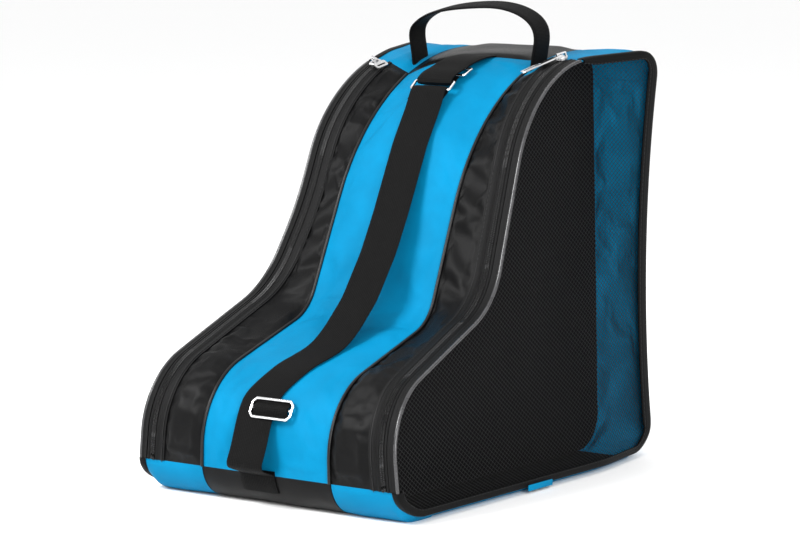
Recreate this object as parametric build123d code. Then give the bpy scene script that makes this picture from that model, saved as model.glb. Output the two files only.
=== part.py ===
# Skate bag: two boot-shaped side compartments with net outer panels, and a middle
# compartment between them, with a carry handle and a webbing shoulder strap.
# Millimetres. +Z up, the toe faces -Y, the width runs along X.
# Working Y starts at the toe; every piece is moved back by half the length when saved,
# so the origin is the centre of the bag's base.
from build123d import *
from math import atan, cos, radians, sin, sqrt, tan
import os

os.makedirs("parts", exist_ok=True)

# ---- driving dimensions ----
bag_length = 420.0            # toe to back
bag_height = 380.0            # floor to the top's rear edge
floor_half_width = 142.75     # to the outer face of the side gussets, at the floor
top_half_width = 107.35       # the same at the top
middle_floor_half = 71.5      # to the outer face of the dividers, at the floor
middle_top_half = 62.25       # the same at the top
top_fall = 0.05               # slope of the top towards the toe
wall = 2.5                    # lined fabric wall
divider_wall = 2.0
back_bottom_radius = 35.0
back_top_radius = 25.0

# outline of the outer panel: toe line, instep and shaft line
outer_toe_height = 101.8
outer_toe_slope = 0.424
outer_instep = 160.0
outer_shaft_slope = 2.209
outer_crest_radius = 150.0
outer_instep_radius = 85.0
outer_toe_radius = 72.0
outer_sole_radius = 52.0

# outline where the side and middle compartments are sewn together
seam_toe_height = 101.0
seam_toe_slope = 0.33
seam_instep = 148.0
seam_shaft_slope = 2.3
seam_crest_radius = 215.0
seam_instep_radius = 45.0
seam_toe_radius = 73.0
seam_sole_radius = 48.0

# the middle compartment's front bows out along its centre line
crown_toe_lift = 2.0
crown_instep_forward = 3.0
crown_crest_radius = 145.0

# seams across the top, behind the corner where the shaft and top lines cross
right_seam_back = 70.59       # where the right side's front gusset and zip end
left_seam_back = 44.59        # the same on the left
middle_seam_back = 79.27      # where the middle's front panel meets its top panel
toe_cap_height = 30.0
middle_toe_cap_height = 27.0
floor_seam_inset = 60.0       # toe cap to floor panel
back_seam_drop = 30.0         # back panel to top panel, below the top
back_seam_inset = 36.0        # floor panel to back panel, from the back

# trims
net_thickness = 1.6
piping_width = 4.0
piping_proud = 2.4
binding_width = 11.0
binding_thickness = 1.2
seam_piping_proud = 2.4
body_gap = 0.4                # clearance between pieces that move apart

# side zips
zip_band = 26.0               # whole width of the tape
flap_tape_width = 6.5         # tape margin sewn to the opening corner of the panel
chain_width = 6.0
chain_height = 1.4
tape_thickness = 1.2
flap_rise = 35.36             # lower end of the opening corner, above the instep corner
right_slider_angle = 13.0     # closed slider, degrees forward of the crest's vertical
left_slider_angle = 24.0

chain_end_gap = 6.0
stop_length = 4.0

# zip slider and pull
slider_length = 11.0
slider_width = 8.6
slider_nose = 6.0
slider_shoulder = 3.0
slider_chamfer = 0.6
slider_thickness = 2.6
slider_lift = 0.7             # slider's underside above the chain
bridge_length = 9.6
bridge_width = 2.2
bridge_height = 4.0
bridge_wall = 1.1
pull_bar_radius = 0.6
pull_play = 1.2               # bar's room above the slider
pull_arm_width = 1.0
pull_thickness = 1.3
pull_width = 6.8
pull_corner = 2.6
pull_eye = (18.0, 3.0)        # slot in the pull, along and across
pull_eye_margin = 3.0         # metal beyond the eye
pull_arm_reach = 1.6          # arms beyond the bridge
left_pull_length = 17.0
left_pull_width = 12.0
left_pull_eye = (2.4, 8.4)
left_pull_yaw = -65.0         # the left bridge and pull turn aside, to the middle; degrees
right_pull_length = 43.0
right_pull_yaw = -30.0
middle_pull_length = 24.0
pull_droop = 6.5             # the pulls hang this much below the chain's line, degrees

# middle zip, straight up the back
middle_zip_bottom = 45.0
middle_zip_drop = 35.0        # top end, below the bag's height
middle_slider_gap = 1.0

# carry handle
handle_outset = 3.75          # legs outside the middle compartment's top seam
handle_rise = 50.0            # above the top line
handle_width = 25.0
handle_thickness = 2.4
handle_inset = 100.0          # centre, from the back
handle_axis_lift = 3.0        # hinge line above the top line
handle_bend_radius = 22.0
handle_end_radius = 12.2
handle_foot_depth = 30.0
handle_leg_allowance = 3.0

# shoulder strap
strap_width = 38.0
strap_thickness = 1.6
strap_side = 5.0              # the strap and its slide lie this far to the right
strap_lift = 4.0              # centre line above the toe's crest
strap_exit_angle = 62.0       # slope of the strap where it leaves the toe
strap_loop_length = 55.0      # from the toe to the slack loop's fold
strap_top = (0.27, -24.04)    # from the crown's crest corner
strap_bend = (-35.73, -69.04)
strap_instep = (-24.0, 20.15)  # from the crown's instep corner
strap_toe_start = 78.0        # from the toe, where the strap meets the toe line
strap_radii = [150.0, 60.0, 60.0]
loop_radius = 5.0
anchor_lift = 3.5             # strap's sewn end above the toe cap's edge
anchor_inset = -0.4
anchor_length = 15.0
anchor_overlap = (0.6, 1.2)   # patch beyond the strap's sewn end
anchor_margin = 1.0           # patch wider than the strap on each side
anchor_foot = 9.5             # from the toe, the anchor patch's lower end
anchor_thickness = 3.0
tab_steps = [(93.27, 8.96), (59.27, 4.46), (21.27, -8.54), (12.27, -15.04)]  # from the crest corner
tab_radii = [120.0, 40.0]
tab_thickness = 2.4

# wire hardware
wire_radius = 1.3
ring_clearance = 1.0          # beside the webbing
ring_corner = 2.2
slide_clearance = 1.6
slide_half_length = 8.4
slide_end_length = 3.6
slide_corner = 3.6
slide_bend = 1.6
slide_lift = 2.6              # wire centre above the strap's centre line
upper_slide_step = (31.27, -8.44)  # from the crest corner
upper_slide_slope = 22.0
upper_slide_half_length = 7.0
upper_slide_corner = 2.4

# small tab in the bottom binding
binding_tab_centre = 207.0
binding_tab_length = 38.0
binding_tab_height = 8.0

far = 1000.0
least_trim = 10.0             # smallest piece of trim kept, cubic millimetres


# ---- outlines ----
def corners(toe_height, toe_slope, instep, shaft_slope):
    """Corner points (y, z) of a boot-shaped outline, before rounding."""
    instep_height = toe_height + toe_slope * instep
    rise = bag_height - top_fall * bag_length - instep_height
    crest_y = (rise + shaft_slope * instep) / (shaft_slope - top_fall)
    crest_z = bag_height - top_fall * (bag_length - crest_y)
    return [
        (bag_length, 0.0),
        (bag_length, bag_height),
        (crest_y, crest_z),
        (instep, instep_height),
        (0.0, toe_height),
        (0.0, 0.0),
    ]


outer_corners = corners(outer_toe_height, outer_toe_slope, outer_instep, outer_shaft_slope)
outer_radii = [
    back_bottom_radius, back_top_radius, outer_crest_radius,
    -outer_instep_radius, outer_toe_radius, outer_sole_radius,
]
seam_corners = corners(seam_toe_height, seam_toe_slope, seam_instep, seam_shaft_slope)
seam_radii = [
    back_bottom_radius, back_top_radius, seam_crest_radius,
    -seam_instep_radius, seam_toe_radius, seam_sole_radius,
]
crown_corners = corners(
    seam_toe_height + crown_toe_lift, seam_toe_slope,
    seam_instep - crown_instep_forward, seam_shaft_slope,
)
crown_radii = list(seam_radii)
crown_radii[2] = crown_crest_radius


right_top_seam = outer_corners[2][0] + right_seam_back
left_top_seam = outer_corners[2][0] + left_seam_back
middle_top_seam = crown_corners[2][0] + middle_seam_back
flap_low = outer_corners[3][1] + flap_rise


def lean_of(floor_half, top_half):
    return atan((floor_half - top_half) / bag_height)


outer_lean = lean_of(floor_half_width, top_half_width)
seam_lean = lean_of(middle_floor_half, middle_top_half)


def grown(points, distance):
    """The corner points of the outline moved outwards by distance."""
    lines = []
    count = len(points)
    for index in range(count):
        (y0, z0), (y1, z1) = points[index], points[(index + 1) % count]
        length = sqrt((y1 - y0) ** 2 + (z1 - z0) ** 2)
        dy, dz = (y1 - y0) / length, (z1 - z0) / length
        lines.append((y0 + dz * distance, z0 - dy * distance, dy, dz))
    moved = []
    for index in range(count):
        ya, za, dya, dza = lines[index - 1]
        yb, zb, dyb, dzb = lines[index]
        step = ((yb - ya) * dzb - (zb - za) * dyb) / (dya * dzb - dza * dyb)
        moved.append((ya + dya * step, za + dza * step))
    return moved


def outline_face(points, radii, distance=0.0):
    """Rounded outline as a flat face; negative radii mark inward corners."""
    sizes = [abs(r + distance) for r in radii]
    path = FilletPolyline(*grown(points, distance), radius=sizes, close=True)
    return make_face(path)


def section(points, radii, floor_x, lean, distance=0.0):
    """The outline on a plane that leans inwards, its sizes measured along the plane."""
    stretched = [(y, z / cos(lean)) for y, z in points]
    plane = Plane(origin=(floor_x, 0, 0), x_dir=(0, 1, 0), z_dir=(cos(lean), 0, sin(lean)))
    return plane * outline_face(stretched, radii, distance)


def outer_section(distance=0.0, inset=0.0):
    return section(outer_corners, outer_radii, floor_half_width - inset, outer_lean, distance)


def seam_section(distance=0.0, inset=0.0):
    return section(seam_corners, seam_radii, middle_floor_half - inset, seam_lean, distance)


def side_solid(distance=0.0):
    """Whole side compartment, from the divider to the outer panel."""
    inner = loft([seam_section(distance), outer_section(distance, zip_band)], ruled=True)
    band = extrude(outer_section(distance, zip_band), amount=zip_band, dir=(1, 0, 0))
    return inner, band


def middle_solid(distance=0.0):
    """Half of the middle compartment, from its centre plane to the divider."""
    crown = section(crown_corners, crown_radii, 0.0, 0.0, distance)
    return loft([crown, seam_section(distance, divider_wall)], ruled=True)


def block(y0, y1, z0, z1, x0=-far, x1=far):
    return Pos((x0 + x1) / 2, (y0 + y1) / 2, (z0 + z1) / 2) * Box(x1 - x0, y1 - y0, z1 - z0)


def slab(face, depth, thickness):
    """Face extruded along X, from depth inwards; thickness grows outwards."""
    return extrude(Pos(-depth, 0, 0) * face, amount=thickness, dir=(1, 0, 0))


toe_zone = block(-far, floor_seam_inset, -far, toe_cap_height)
floor_zone = block(floor_seam_inset, bag_length - back_seam_inset, -far, toe_cap_height)
back_zone = block(bag_length - back_seam_inset, far, -far, bag_height - back_seam_drop)
middle_front_zone = block(-far, middle_top_seam, middle_toe_cap_height, far)
middle_toe_zone = block(-far, floor_seam_inset, -far, middle_toe_cap_height)
middle_floor_zone = block(floor_seam_inset, bag_length - back_seam_inset, 0, wall)
middle_top_zone = block(middle_top_seam, far, bag_height - back_seam_drop, far)

saved = []


def save(part, name):
    solids = list((Pos(0, -bag_length / 2, 0) * part).solids())
    shape = solids[0] if len(solids) == 1 else Compound(children=solids)
    export_step(shape, f"parts/{name}.step")
    saved.append(name)


def save_side(part, side, name):
    """Pieces are made on the right; the left ones are their mirror images."""
    save(part if side == "right" else mirror(part, about=Plane.YZ), f"{side}_{name}")


# ---- side compartments ----
inner_outside, band_outside = side_solid()
inner_inside, band_inside = side_solid(-wall)
inner_ring = inner_outside - inner_inside
band_ring = band_outside - band_inside
side_ring = inner_ring + band_ring
net_sheet = slab(outer_section(), 0, net_thickness)
piping_ring = slab(outer_section(piping_proud), 0, net_thickness) - slab(
    outer_section(piping_proud - piping_width), 0, net_thickness)
binding_ring = slab(outer_section(), -net_thickness, binding_thickness) - slab(
    outer_section(-binding_width), -net_thickness, binding_thickness)
tape_ring = slab(outer_section(), zip_band, zip_band) - slab(
    outer_section(-tape_thickness), zip_band, zip_band)
chain_inset = (zip_band + chain_width) / 2
chain_ring = slab(outer_section(chain_height), chain_inset, chain_width) - slab(
    outer_section(), chain_inset, chain_width)
divider = slab(seam_section(), divider_wall, divider_wall)
seam_trim = slab(seam_section(seam_piping_proud), divider_wall, divider_wall) - divider


def build_panels(side, top_seam):
    """Gusset ring of one side compartment, its divider and the piping on their seam."""
    front_zone = block(-far, top_seam, toe_cap_height, far)
    top_zone = block(top_seam, far, bag_height - back_seam_drop, far)
    save_side(inner_ring & front_zone, side, "front_gusset")
    save_side(side_ring & toe_zone, side, "toe_cap")
    save_side(side_ring & floor_zone, side, "floor_panel")
    save_side(side_ring & back_zone, side, "back_panel")
    save_side(side_ring & top_zone, side, "top_panel")
    save_side(divider, side, "divider")
    save_side(seam_trim & middle_front_zone, side, "seam_piping")


def crest_height(y_wanted):
    """Height of the outer panel's edge above this y."""
    cut = net_sheet & block(y_wanted - 0.05, y_wanted + 0.05, bag_height / 2, far)
    return cut.bounding_box().max.Z


def chord_zone(top_seam, margin):
    """Everything beyond the opening corner's fold line, between its ends."""
    low = Vector(0, outer_instep + flap_rise / outer_shaft_slope, flap_low)
    top = Vector(0, top_seam, crest_height(top_seam))
    along = top - low
    plane = Plane(origin=low, x_dir=along, z_dir=(1, 0, 0))
    reach = along.length / 2
    sketch = Pos(reach, margin + reach) * Rectangle(along.length - 2 * margin, 2 * reach)
    return extrude(plane * sketch, amount=far, both=True)


def build_net(side, top_seam):
    """Net panel with its piping, binding and the corner that folds open."""
    front_zone = block(-far, top_seam, toe_cap_height, far)
    flap_zone = chord_zone(top_seam, body_gap)
    flap_gap_zone = chord_zone(top_seam, 0.0)
    panel = net_sheet - (piping_ring & front_zone)
    front_piping = piping_ring & front_zone
    save_side(panel - flap_gap_zone, side, "net_panel")
    save_side(panel & flap_zone, side, "net_flap")
    fixed_piping = front_piping - flap_gap_zone
    save_side(largest_pieces(fixed_piping, least_trim), side, "panel_piping")
    save_side(front_piping & flap_zone, side, "flap_piping")
    save_side(binding_ring - front_zone, side, "edge_binding")
    tape = tape_ring & front_zone
    margin_zone = slab(outer_section(), flap_tape_width, flap_tape_width)
    loose_zone = slab(outer_section(), flap_tape_width - body_gap, flap_tape_width - body_gap)
    save_side(tape - (margin_zone & flap_gap_zone), side, "zip_tape")
    save_side(tape & loose_zone & flap_zone, side, "flap_tape")


def largest_pieces(part, least_volume):
    """Drops the slivers that a cut leaves beside a corner."""
    kept = [solid for solid in part.solids() if solid.volume > least_volume]
    whole = kept[0]
    for solid in kept[1:]:
        whole = whole + solid
    return whole


def crest_centre():
    """Centre (y, distance along the panel) of the crest's arc."""
    stretched = [(y, z / cos(outer_lean)) for y, z in outer_corners]
    (ya, za), (yc, zc), (yb, zb) = stretched[1], stretched[2], stretched[3]
    to_back = Vector(ya - yc, za - zc).normalized()
    to_toe = Vector(yb - yc, zb - zc).normalized()
    half = radians(to_back.get_angle(to_toe)) / 2
    middle = (to_back + to_toe).normalized()
    reach = outer_crest_radius / sin(half)
    return yc + middle.X * reach, zc + middle.Y * reach


crest_y, crest_v = crest_centre()
band_plane = Plane(
    origin=(floor_half_width - zip_band / 2, 0, 0), x_dir=(0, 1, 0),
    z_dir=(cos(outer_lean), 0, sin(outer_lean)))


def zip_place(angle):
    """Frame on the closed chain's centre line: local x runs along the chain towards the
    toe, local z points outwards."""
    turn = radians(angle)
    radius = outer_crest_radius + chain_height
    foot = (crest_y - radius * sin(turn), crest_v + radius * cos(turn), 0)
    out = (foot[0] - sin(turn), foot[1] + cos(turn), 0)
    ahead = (foot[0] - cos(turn), foot[1] - sin(turn), 0)
    origin = band_plane.from_local_coords(foot)
    return Plane(origin=origin, x_dir=band_plane.from_local_coords(ahead) - origin,
                 z_dir=band_plane.from_local_coords(out) - origin)


def slider_shape(bridge_yaw=0.0):
    """Zip slider on its local frame, underside at slider_lift above the chain."""
    half = slider_length / 2
    neck = half - slider_shoulder
    nose, side = slider_nose / 2, slider_width / 2
    outline = Polyline(
        (half, nose), (neck, side), (-neck, side), (-half, nose),
        (-half, -nose), (-neck, -side), (neck, -side), (half, -nose), close=True)
    body = Pos(0, 0, slider_lift) * extrude(make_face(outline), amount=slider_thickness)
    body = chamfer(body.faces().sort_by(Axis.Z)[-1].edges(), slider_chamfer)
    base = (Align.CENTER, Align.CENTER, Align.MIN)
    arch = Box(bridge_length, bridge_width, bridge_height, align=base)
    arch -= Box(bridge_length - 2 * bridge_wall, bridge_width, bridge_height - bridge_wall, align=base)
    return body + Pos(0, 0, slider_lift + slider_thickness) * Rot(0, 0, bridge_yaw) * arch


pivot_height = slider_lift + slider_thickness + pull_thickness / 2 + pull_play


def pull_shape(length, width=pull_width, eye_size=pull_eye):
    """Pull tab lying along local +x, hung on a bar through the slider's bridge."""
    arm_y = bridge_width / 2 + body_gap + pull_arm_width / 2
    bar = Rot(90, 0, 0) * Cylinder(pull_bar_radius, 2 * arm_y + pull_arm_width)
    arm_length = bridge_length / 2 + pull_arm_reach
    arm_box = Box(arm_length + pull_arm_width, pull_arm_width, pull_thickness)
    arm = Pos(arm_length / 2, arm_y, 0) * arm_box
    arms = arm + mirror(arm, about=Plane.XZ)
    plate = RectangleRounded(length - arm_length, width, pull_corner)
    tab = extrude(Pos((length + arm_length) / 2, 0) * plate, amount=pull_thickness / 2, both=True)
    along, across = eye_size
    slot_turn = 90 if across > along else 0
    eye = Rot(0, 0, slot_turn) * SlotOverall(max(eye_size), min(eye_size))
    eye_centre = length - pull_eye_margin - along / 2
    tab -= extrude(Pos(eye_centre, 0) * eye, amount=pull_thickness, both=True)
    return bar + arms + tab


def build_zip(side, top_seam, slider_angle, pull_yaw, pull):
    """Coil chain with its stops, slider and pull."""
    chain_top = top_seam - chain_end_gap
    chain_low = toe_cap_height + chain_end_gap
    toe_half = bag_length / 4
    save_side(chain_ring & block(-far, chain_top, chain_low, far), side, "zip_chain")
    stop_top = chain_ring & block(chain_top, chain_top + stop_length, bag_height / 2, far)
    stop_low = chain_ring & block(-far, toe_half, chain_low - stop_length, chain_low)
    save_side(stop_top + stop_low, side, "zip_stops")
    place = zip_place(slider_angle)
    save_side(place.location * slider_shape(pull_yaw), side, "zip_slider")
    turned = Pos(0, 0, pivot_height) * Rot(0, 0, pull_yaw) * Rot(0, pull_droop, 0)
    save_side(place.location * turned * pull, side, "zip_pull")


right_pull = pull_shape(right_pull_length)
left_pull = pull_shape(left_pull_length, left_pull_width, left_pull_eye)
for side, top_seam, slider_angle, pull_yaw, pull in [
    ("right", right_top_seam, right_slider_angle, right_pull_yaw, right_pull),
    ("left", left_top_seam, left_slider_angle, left_pull_yaw, left_pull),
]:
    build_panels(side, top_seam)
    build_net(side, top_seam)
    build_zip(side, top_seam, slider_angle, pull_yaw, pull)

# ---- middle compartment ----
half_outside = middle_solid()
half_inside = middle_solid(-wall)
half_ring = half_outside - half_inside
middle_ring = half_ring + mirror(half_ring, about=Plane.YZ)
middle_zip_top = bag_height - middle_zip_drop
zip_slot = block(bag_length - back_seam_inset, far, middle_zip_bottom, middle_zip_top,
                 -zip_band / 2, zip_band / 2)
save(middle_ring & middle_front_zone, "middle_front_panel")
save(middle_ring & middle_toe_zone, "middle_toe_cap")
half_grown = middle_solid(wall)
middle_grown = half_grown + mirror(half_grown, about=Plane.YZ)
save(middle_grown & middle_floor_zone, "middle_floor_panel")
save((middle_ring & back_zone) - zip_slot, "middle_back_panel")
save(middle_ring & middle_top_zone, "middle_top_panel")

save(block(bag_length - tape_thickness, bag_length, middle_zip_bottom, middle_zip_top,
           -zip_band / 2, zip_band / 2), "middle_zip_tape")
middle_chain_top = middle_zip_top - chain_end_gap
middle_chain_low = middle_zip_bottom + chain_end_gap


def chain_block(z0, z1):
    return block(bag_length, bag_length + chain_height, z0, z1, -chain_width / 2, chain_width / 2)


save(chain_block(middle_chain_low, middle_chain_top), "middle_zip_chain")
save(chain_block(middle_chain_top, middle_chain_top + stop_length)
     + chain_block(middle_chain_low - stop_length, middle_chain_low), "middle_zip_stops")
middle_slider_height = middle_chain_top - slider_length / 2 - middle_slider_gap
middle_place = Plane(origin=(0, bag_length + chain_height, middle_slider_height),
                     x_dir=(0, 0, -1), z_dir=(0, 1, 0))
save(middle_place.location * slider_shape(), "middle_zip_slider")
save(middle_place.location * Pos(0, 0, pivot_height) * pull_shape(middle_pull_length),
     "middle_zip_pull")

# ---- carry handle ----
half_strip = handle_thickness / 2
handle_half_span = middle_top_half + handle_outset
handle_centre = bag_length - handle_inset
top_at_handle = bag_height - top_fall * handle_inset
handle_axis_height = top_at_handle + handle_axis_lift
handle_top = top_at_handle + handle_rise
leg_bottom = handle_axis_height + handle_end_radius + body_gap


def arch_face(grow):
    half = handle_half_span + grow
    top = handle_top - half_strip + grow
    return make_face(FilletPolyline(
        (-half, leg_bottom), (half, leg_bottom), (half, top), (-half, top),
        radius=[0, 0, handle_bend_radius + grow, handle_bend_radius + grow], close=True))


handle_plane = Plane(origin=(0, handle_centre, 0), x_dir=(1, 0, 0), z_dir=(0, -1, 0))
loop_face = handle_plane * (arch_face(half_strip) - arch_face(-half_strip))
handle_loop = extrude(loop_face, amount=handle_width / 2, both=True)
leg_reach = handle_half_span - handle_leg_allowance
handle_loop -= block(-far, far, -far, leg_bottom, -leg_reach, leg_reach)
save(handle_loop & block(-far, far, leg_bottom, far), "handle_loop")

side_block = inner_outside + band_outside + divider
end_disc = Pos(handle_half_span, handle_centre, handle_axis_height) * (
    Rot(0, 90, 0) * Cylinder(handle_end_radius, handle_thickness))
end_foot = block(handle_centre - handle_end_radius, handle_centre + handle_end_radius,
                 handle_axis_height - handle_foot_depth, handle_axis_height,
                 handle_half_span - half_strip, handle_half_span + half_strip)
handle_end = (end_disc + end_foot) - side_block
handle_end = handle_end.solids().sort_by(Axis.Z)[-1]
save(handle_end + mirror(handle_end, about=Plane.YZ), "handle_ends")

# ---- shoulder strap ----
middle_block = half_outside + mirror(half_outside, about=Plane.YZ)


def webbing(points, radii, thickness, width, aside=0.0):
    """Flat webbing along a path of (y, z) points, its middle this far to the right."""
    line = FilletPolyline(*points, radius=radii) if radii else Line(*points)
    plane = Plane(origin=(aside, 0, 0), x_dir=(0, 1, 0), z_dir=(1, 0, 0))
    face = plane * trace(line, line_width=thickness)
    return extrude(face, amount=width / 2, both=True)


crest_corner, instep_corner = crown_corners[2], crown_corners[3]


def from_corner(corner, step):
    return corner[0] + step[0], corner[1] + step[1]


toe_line_height = crown_corners[4][1]
toe_turn = radians(90) - atan(seam_toe_slope)
toe_centre = (seam_toe_radius, toe_line_height - seam_toe_radius * tan(toe_turn / 2))
strap_toe_radius = seam_toe_radius + strap_lift


def on_toe(radius, slope_degrees):
    turn = radians(slope_degrees)
    return (toe_centre[0] - radius * sin(turn), toe_centre[1] + radius * cos(turn))


exit_y, exit_z = on_toe(strap_toe_radius, strap_exit_angle)
fold = (exit_y - strap_loop_length * cos(radians(strap_exit_angle)),
        exit_z - strap_loop_length * sin(radians(strap_exit_angle)))
toe_line_rise = strap_lift / cos(atan(seam_toe_slope))
exit_slope = sin(radians(strap_exit_angle)) / cos(radians(strap_exit_angle))
lifted_toe_line = toe_line_height + toe_line_rise
knee_y = (lifted_toe_line - exit_z + exit_slope * exit_y) / (exit_slope - seam_toe_slope)
anchor_height = middle_toe_cap_height + anchor_lift
route = [
    from_corner(crest_corner, strap_top),
    from_corner(crest_corner, strap_bend),
    from_corner(instep_corner, strap_instep),
    (strap_toe_start, lifted_toe_line + seam_toe_slope * strap_toe_start),
    (knee_y, lifted_toe_line + seam_toe_slope * knee_y),
    fold,
    (anchor_inset, anchor_height),
]
strap = webbing(route, strap_radii + [strap_toe_radius, loop_radius], strap_thickness,
                strap_width, strap_side)
anchor_top = (anchor_inset - anchor_overlap[0], anchor_height + anchor_overlap[1])
anchor = webbing([anchor_top, (anchor_foot, anchor_height - anchor_length)], [], anchor_thickness,
                 strap_width + 2 * anchor_margin, strap_side) - middle_block
save(anchor, "strap_anchor")
save(largest_pieces(strap - middle_block - anchor, least_trim), "shoulder_strap")
tab_points = [from_corner(crest_corner, step) for step in tab_steps]
strap_tab = webbing(tab_points, tab_radii, tab_thickness, strap_width)
save(strap_tab - middle_block, "strap_tab")


def wire_loop(points, corner, plane):
    path = FilletPolyline(*points, radius=[corner] * len(points), close=True)
    path = plane * path
    start = Plane(origin=path @ 0, z_dir=path % 0) * Circle(wire_radius)
    return sweep(start, path=path)


tab_end, strap_end = tab_points[-1], route[0]
run, rise = tab_end[0] - strap_end[0], tab_end[1] - strap_end[1]
ring_slope = atan(rise / run)
ring_plane = Plane(
    origin=(0, (tab_end[0] + strap_end[0]) / 2, (tab_end[1] + strap_end[1]) / 2),
    x_dir=(1, 0, 0), z_dir=(0, -sin(ring_slope), cos(ring_slope)))
ring_half_width = strap_width / 2 + wire_radius + ring_clearance
ring_gap = sqrt(run ** 2 + rise ** 2) / 2 - wire_radius - body_gap
ring_points = [(-ring_half_width, -ring_gap), (ring_half_width, -ring_gap),
               (ring_half_width, ring_gap), (-ring_half_width, ring_gap)]
save(wire_loop(ring_points, ring_corner, ring_plane), "upper_ring")

slide_y, slide_z = on_toe(strap_toe_radius + slide_lift, strap_exit_angle)
exit_turn = radians(strap_exit_angle)
slide_plane = Plane(origin=(strap_side, slide_y, slide_z), x_dir=(1, 0, 0),
                    z_dir=(0, -sin(exit_turn), cos(exit_turn)))
slide_half_width = strap_width / 2 + wire_radius + slide_clearance
w, h = slide_half_width, slide_half_length
slide_points = [
    (-w + slide_corner, -h), (w - slide_corner, -h), (w, -h + slide_end_length),
    (w, h - slide_end_length), (w - slide_corner, h), (-w + slide_corner, h),
    (-w, h - slide_end_length), (-w, -h + slide_end_length),
]
slide_frame = wire_loop(slide_points, slide_bend, slide_plane)
save(slide_frame, "slide_frame")
slide_bar = slide_plane.location * Rot(0, 90, 0) * Cylinder(wire_radius, 2 * slide_half_width)
save(slide_bar - slide_frame, "slide_bar")


# second slide, tucked under the strap tab with its right end showing
upper_turn = radians(upper_slide_slope)
upper_plane = Plane(origin=(0, *from_corner(crest_corner, upper_slide_step)), x_dir=(1, 0, 0),
                    z_dir=(0, -sin(upper_turn), cos(upper_turn)))
u = upper_slide_half_length
upper_points = [(-w, -u), (w, -u), (w, u), (-w, u)]
save(wire_loop(upper_points, upper_slide_corner, upper_plane), "upper_slide")

# ---- small tab sewn into the right side's bottom binding ----
tab_outside = floor_half_width + net_thickness + binding_thickness
save(block(binding_tab_centre - binding_tab_length / 2, binding_tab_centre + binding_tab_length / 2,
           0, binding_tab_height, tab_outside, tab_outside + binding_thickness), "binding_tab")

print("saved", len(saved))
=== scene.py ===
# Skate bag: sewn fabric, net, zips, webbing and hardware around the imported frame.
# Metres. +Z up, the toe faces -Y, the width runs along X.
from math import atan, cos, pi, radians, sin, tan
import bpy
import numpy as np
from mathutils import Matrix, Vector, noise


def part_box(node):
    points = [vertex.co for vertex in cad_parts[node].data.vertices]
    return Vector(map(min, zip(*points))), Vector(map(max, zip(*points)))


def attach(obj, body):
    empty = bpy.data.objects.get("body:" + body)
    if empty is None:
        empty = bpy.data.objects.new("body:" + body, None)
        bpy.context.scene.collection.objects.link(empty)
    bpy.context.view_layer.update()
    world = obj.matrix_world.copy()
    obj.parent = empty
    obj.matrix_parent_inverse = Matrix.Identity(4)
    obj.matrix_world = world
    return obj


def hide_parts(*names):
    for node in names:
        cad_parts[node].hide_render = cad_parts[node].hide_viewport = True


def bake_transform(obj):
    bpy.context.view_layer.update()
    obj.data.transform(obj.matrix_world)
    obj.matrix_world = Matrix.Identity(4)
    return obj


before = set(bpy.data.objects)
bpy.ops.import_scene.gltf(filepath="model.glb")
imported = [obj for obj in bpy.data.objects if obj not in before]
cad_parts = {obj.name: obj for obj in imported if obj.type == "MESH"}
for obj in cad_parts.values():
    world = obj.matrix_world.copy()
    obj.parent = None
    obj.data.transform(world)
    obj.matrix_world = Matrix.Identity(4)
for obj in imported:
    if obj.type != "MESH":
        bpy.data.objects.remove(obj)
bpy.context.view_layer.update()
scene = bpy.context.scene
sides = {"right": 1.0, "left": -1.0}

dividerLow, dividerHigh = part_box("right_divider")
toeY = dividerLow.y
bag = {
    "length": dividerHigh.y - dividerLow.y,
    "height": 0.380,
    "topFall": 0.05,
    "seamFloor": dividerHigh.x,
    "seamTop": 0.06225,
    "outerFloor": 0.14275,
    "outerTop": 0.10735,
    "band": 0.026,
}
# outline shapes: toe height, toe slope, instep, shaft slope, and the corner radii
# in the order back bottom, back top, crest, instep, toe, sole
outerShape = {
    "toeHeight": 0.1018, "toeSlope": 0.424, "instep": 0.160, "shaftSlope": 2.209,
    "radii": (0.035, 0.025, 0.150, 0.085, 0.072, 0.036),
}
seamShape = {
    "toeHeight": 0.1010, "toeSlope": 0.330, "instep": 0.148, "shaftSlope": 2.300,
    "radii": (0.035, 0.025, 0.215, 0.045, 0.073, 0.034),
}
crownShape = {
    "toeHeight": 0.1030, "toeSlope": 0.330, "instep": 0.145, "shaftSlope": 2.300,
    "radii": (0.035, 0.025, 0.145, 0.045, 0.073, 0.034),
}
cuts = {
    "rightTop": 0.322, "rightTopInner": 0.294, "leftTop": 0.296, "leftTopInner": 0.296,
    "middleTop": 0.312, "middleTopSkew": 0.020,
    "toeCap": 0.030, "middleToeCap": 0.027, "floorFront": 0.060,
    "floorBack": 0.384, "backTop": 0.350,
}


# working with selection
def clearSelection():
    if bpy.context.object and bpy.context.object.mode != "OBJECT":
        bpy.ops.object.mode_set(mode="OBJECT")
    bpy.ops.object.select_all(action="DESELECT")


def pick(obj):
    clearSelection()
    obj.select_set(True)
    bpy.context.view_layer.objects.active = obj


def coordinates(obj):
    points = np.empty(len(obj.data.vertices) * 3)
    obj.data.vertices.foreach_get("co", points)
    return points.reshape(-1, 3)


def setCoordinates(obj, points):
    obj.data.vertices.foreach_set("co", np.ascontiguousarray(points, float).ravel())
    obj.data.update()


def applyModifier(obj, kind, **values):
    pick(obj)
    bpy.ops.object.modifier_add(type=kind)
    modifier = obj.modifiers[-1]
    for key, value in values.items():
        setattr(modifier, key, value)
    bpy.ops.object.modifier_apply(modifier=modifier.name)


def smooth(obj, degrees=40):
    pick(obj)
    bpy.ops.object.shade_smooth_by_angle(angle=radians(degrees))


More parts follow.
